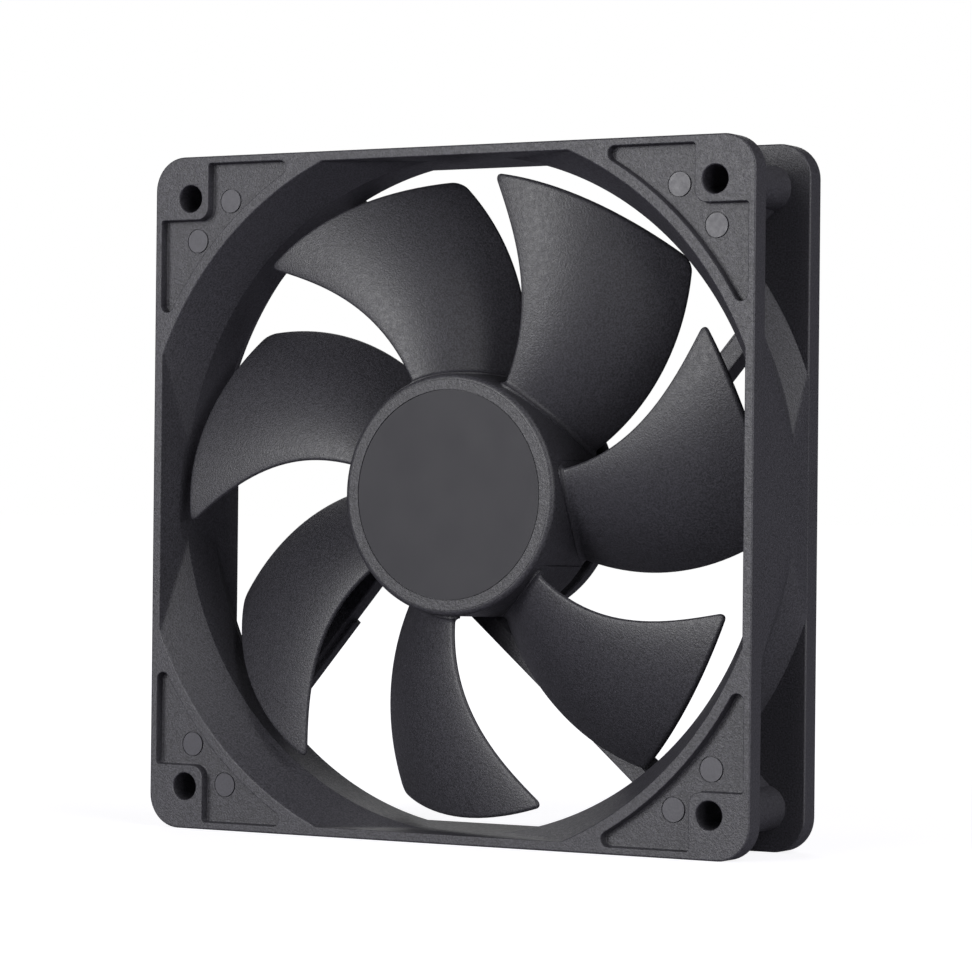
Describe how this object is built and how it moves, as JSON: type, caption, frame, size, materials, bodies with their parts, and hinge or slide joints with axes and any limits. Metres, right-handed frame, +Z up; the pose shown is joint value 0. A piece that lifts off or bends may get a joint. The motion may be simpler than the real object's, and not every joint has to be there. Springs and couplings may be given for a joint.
{
  "type": "case fan",
  "caption": "Square axial case fan with a flanged moulded frame, swept-blade impeller and brushless outer-rotor hub motor.",
  "frame": {"origin": "centre of the square frame, halfway between the intake and exhaust faces, on the rotor's axis", "axes": "+Y is the airflow direction along the rotor's axis, from the intake face to the exhaust face; +Z is up and +X is to the right when looking at the intake face"},
  "size_m": [0.12, 0.025, 0.12],
  "materials": {
    "frame_plastic": "fine spark-eroded grain, charcoal",
    "impeller_plastic": "fine matte grain, charcoal",
    "label_grey": "smooth matte film, blank",
    "brass": "turned",
    "sintered_bronze": "porous, oil soaked",
    "seal_film": "thin film",
    "nylon": "natural nylon",
    "cap_rubber": "soft black rubber",
    "core_steel": "stacked stamped sheets",
    "insulator_plastic": "off-white moulding",
    "copper_wire": "enamelled winding",
    "board": "solder mask",
    "chip_black": "moulded package",
    "capacitor_ceramic": "ceramic",
    "tinned_steel": "tinned",
    "solder": "solder fillet",
    "yoke_steel": "zinc plated",
    "ferrite": "moulded ferrite",
    "shaft_steel": "ground"
  },
  "bodies": {
    "frame": {"frame": "frame_plastic", "bearing_tube": "brass", "sleeve_bearing": "sintered_bronze", "oil_seal_ring": "seal_film", "thrust_pad": "nylon", "end_cap": "cap_rubber", "stator_core": "core_steel", "upper_insulator": "insulator_plastic", "lower_insulator": "insulator_plastic", "coil_1": "copper_wire", "coil_2": "copper_wire", "coil_3": "copper_wire", "coil_4": "copper_wire", "circuit_board": "board", "hall_driver_ic": "chip_black", "filter_capacitor": "capacitor_ceramic", "chip_resistors": "chip_black", "winding_pins": "tinned_steel", "solder_joints": "solder", "rear_label": "label_grey"},
    "rotor": {"impeller": "impeller_plastic", "hub_label": "label_grey", "rotor_yoke": "yoke_steel", "magnet_ring": "ferrite", "shaft": "shaft_steel", "shaft_bush": "brass", "retaining_clip": "nylon", "oil_slinger": "nylon"}
  },
  "joints": [
    {"name": "rotor_spin", "type": "hinge", "parent": "frame", "child": "rotor", "pos_m": [0, 0, 0], "axis": [0, -1, 0], "continuous": true}
  ]
}
